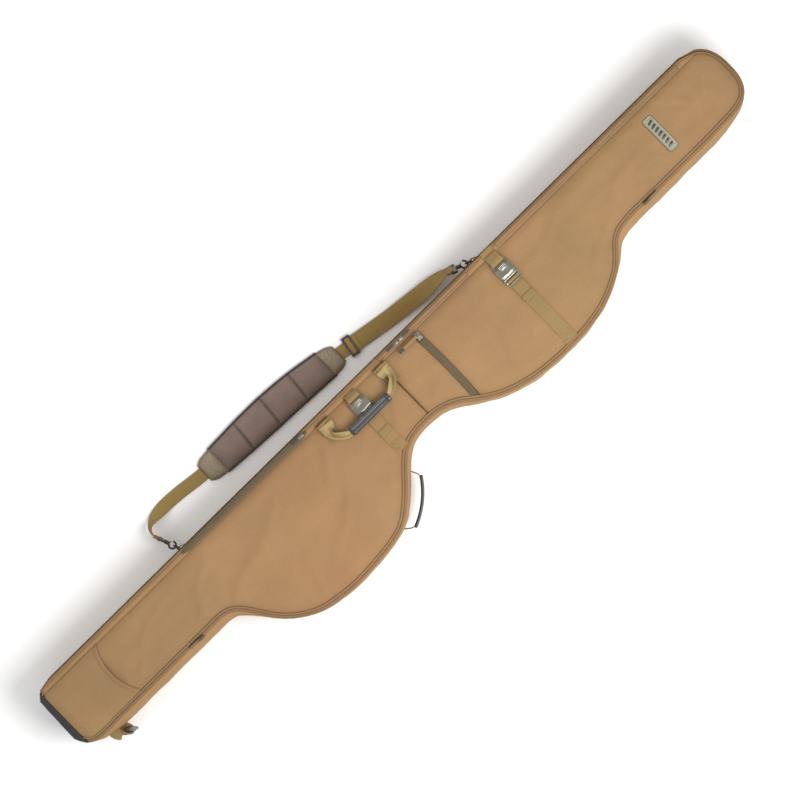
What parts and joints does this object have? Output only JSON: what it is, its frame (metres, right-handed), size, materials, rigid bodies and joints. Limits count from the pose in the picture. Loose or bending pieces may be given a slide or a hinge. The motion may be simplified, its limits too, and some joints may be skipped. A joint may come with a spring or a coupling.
{
  "type": "rod case",
  "caption": "Long padded soft case with a straight spine and reel bulges, zip-open lid, front pockets, compression straps, carry handles and a padded shoulder strap.",
  "frame": {"origin": "on the floor face of the rear panel, half way along the case and on its long axis", "axes": "+X from the moulded base to the top end, +Y towards the straight spine and shoulder strap, +Z out of the front panel"},
  "size_m": [1.95, 0.4346, 0.1868],
  "materials": {
    "canvas_main": "woven matt",
    "canvas_gusset": "woven matt",
    "webbing_tan": "ribbed webbing",
    "webbing_shoulder": "ribbed webbing",
    "zip_tape_grey": "zip tape",
    "lining": "plain lining",
    "air_mesh": "spacer mesh",
    "moulded_rubber": "matt",
    "badge_rubber": "matt",
    "buckle_plastic": "satin",
    "hook_plastic": "satin black",
    "ring_steel": "satin black",
    "zip_metal": "gunmetal"
  },
  "bodies": {
    "tub": {"rear_panel": "canvas_main", "rear_foam": "lining", "rear_piping": "canvas_gusset", "spine_gusset": "canvas_main", "reel_side_gusset": "canvas_gusset", "main_zip_tub_side": "webbing_tan", "base_cap": "moulded_rubber", "rod_ties": "lining", "butt_pocket": "lining", "tip_pocket": "lining", "dring_tabs": "webbing_tan", "shoulder_strap_lower": "webbing_shoulder", "shoulder_strap_upper": "webbing_shoulder", "shoulder_pad": "air_mesh", "pad_caps": "webbing_shoulder", "side_handle_webbing": "webbing_tan", "base_handle_webbing": "webbing_tan", "divider_hinge_tape": "lining"},
    "lid": {"lid_foam": "lining", "lid_panel": "canvas_main", "lid_piping": "canvas_gusset", "lid_hinge_tape": "canvas_main", "main_zip_lid_side": "webbing_tan", "lower_pocket": "canvas_main", "waist_panel": "canvas_gusset", "sleeve_panel": "canvas_main", "base_pocket": "canvas_gusset", "waist_zip": "zip_tape_grey", "side_pocket_zip": "zip_tape_grey", "sleeve_zip": "webbing_tan", "upper_compression_strap": "webbing_tan", "upper_buckle_female": "buckle_plastic", "waist_compression_strap": "webbing_tan", "waist_buckle_female": "buckle_plastic", "handle_anchors": "webbing_tan", "badge": "badge_rubber"},
    "main_slider_lower": {"main_zip_slider_lower": "zip_metal"},
    "main_slider_upper": {"main_zip_slider_upper": "zip_metal"},
    "ring_upper": {"dring_upper": "ring_steel"},
    "ring_lower": {"dring_lower": "ring_steel"},
    "hook_upper": {"snap_hook_upper": "hook_plastic"},
    "hook_lower": {"snap_hook_lower": "hook_plastic"},
    "gate_upper": {"hook_gate_upper": "ring_steel"},
    "gate_lower": {"hook_gate_lower": "ring_steel"},
    "eye_upper": {"hook_eye_upper": "hook_plastic"},
    "eye_lower": {"hook_eye_lower": "hook_plastic"},
    "slider_bar": {"strap_slider": "hook_plastic"},
    "side_grip": {"side_handle_grip": "moulded_rubber"},
    "base_grip": {"base_handle_grip": "moulded_rubber"},
    "divider_flap": {"divider": "lining"},
    "waist_slider": {"waist_zip_slider": "zip_metal"},
    "side_slider": {"side_pocket_zip_slider": "zip_metal"},
    "sleeve_slider_a": {"sleeve_zip_slider_a": "zip_metal"},
    "sleeve_slider_b": {"sleeve_zip_slider_b": "zip_metal"},
    "buckle_upper": {"upper_buckle_male": "buckle_plastic"},
    "buckle_waist": {"waist_buckle_male": "buckle_plastic"},
    "front_handle": {"handle_webbing": "webbing_tan", "handle_grip": "moulded_rubber"}
  },
  "joints": [
    {"name": "lid_open", "type": "hinge", "parent": "tub", "child": "lid", "pos_m": [0, 0.0902, 0.1412], "axis": [-1, 0, 0], "range_deg": [0, 180]},
    {"name": "divider_lift", "type": "hinge", "parent": "tub", "child": "divider_flap", "pos_m": [0, 0.076, 0.072], "axis": [-1, 0, 0], "range_deg": [0, 81]},
    {"name": "main_zip_lower_slide", "type": "slide", "parent": "tub", "child": "main_slider_lower", "axis": [-1, 0, 0], "range_m": [0, 0.22]},
    {"name": "main_zip_upper_slide", "type": "slide", "parent": "tub", "child": "main_slider_upper", "axis": [1, 0, 0], "range_m": [0, 0.11]},
    {"name": "ring_upper_swing", "type": "hinge", "parent": "tub", "child": "ring_upper", "pos_m": [0.312, 0.0964, 0.04], "axis": [0, 0, 1], "range_deg": [-4, 4]},
    {"name": "hook_upper_swing", "type": "hinge", "parent": "ring_upper", "child": "hook_upper", "pos_m": [0.29978, 0.10085, 0.04], "axis": [0, 0, 1], "range_deg": [-3, 3]},
    {"name": "gate_upper_press", "type": "hinge", "parent": "hook_upper", "child": "gate_upper", "pos_m": [0.28963, 0.10773, 0.04], "axis": [0, 0, -1], "range_deg": [0, 24], "stiffness_Nm_per_rad": 0.01},
    {"name": "eye_upper_swivel", "type": "hinge", "parent": "hook_upper", "child": "eye_upper", "pos_m": [0.312, 0.0964, 0.04], "axis": [-0.9397, 0.342, 0], "range_deg": [-8, 8]},
    {"name": "ring_lower_swing", "type": "hinge", "parent": "tub", "child": "ring_lower", "pos_m": [-0.556, 0.0964, 0.04], "axis": [0, 0, 1], "range_deg": [-4, 4]},
    {"name": "hook_lower_swing", "type": "hinge", "parent": "ring_lower", "child": "hook_lower", "pos_m": [-0.56045, 0.10862, 0.04], "axis": [0, 0, 1], "range_deg": [-3, 3]},
    {"name": "gate_lower_press", "type": "hinge", "parent": "hook_lower", "child": "gate_lower", "pos_m": [-0.5617, 0.12082, 0.04], "axis": [0, 0, -1], "range_deg": [0, 24], "stiffness_Nm_per_rad": 0.01},
    {"name": "eye_lower_swivel", "type": "hinge", "parent": "hook_lower", "child": "eye_lower", "pos_m": [-0.556, 0.0964, 0.04], "axis": [-0.342, 0.9397, 0], "range_deg": [-8, 8]},
    {"name": "strap_slider_slide", "type": "slide", "parent": "tub", "child": "slider_bar", "axis": [0.9871, -0.1599, 0], "range_m": [0, 0.03]},
    {"name": "side_grip_flex", "type": "hinge", "parent": "tub", "child": "side_grip", "pos_m": [-0.12866, -0.18159, 0.07], "axis": [0.7703, 0.6377, 0], "range_deg": [-22, 22]},
    {"name": "base_grip_flex", "type": "hinge", "parent": "tub", "child": "base_grip", "pos_m": [-0.912, -0.092, 0.07], "axis": [0, 0, 1], "range_deg": [-6, 12]},
    {"name": "front_handle_swing", "type": "hinge", "parent": "lid", "child": "front_handle", "pos_m": [0, 0.066, 0.1649], "axis": [-1, 0, 0], "range_deg": [0, 88]},
    {"name": "waist_zip_slide", "type": "slide", "parent": "lid", "child": "waist_slider", "axis": [0, -1, 0], "range_m": [0, 0.155]},
    {"name": "side_zip_slide", "type": "slide", "parent": "lid", "child": "side_slider", "axis": [-1, 0, 0], "range_m": [0, 0.33]},
    {"name": "sleeve_zip_a_slide", "type": "slide", "parent": "lid", "child": "sleeve_slider_a", "axis": [-1, 0, 0], "range_m": [0, 0.04]},
    {"name": "sleeve_zip_b_slide", "type": "slide", "parent": "lid", "child": "sleeve_slider_b", "axis": [1, 0, 0], "range_m": [0, 0.18]},
    {"name": "upper_buckle_release", "type": "slide", "parent": "lid", "child": "buckle_upper", "axis": [0, -1, 0], "range_m": [0, 0.032]},
    {"name": "waist_buckle_release", "type": "slide", "parent": "lid", "child": "buckle_waist", "axis": [0, -1, 0], "range_m": [0, 0.032]}
  ],
  "couplings": [
    {"joint": "divider_lift", "follows": "lid_open", "ratio": 0.45}
  ]
}
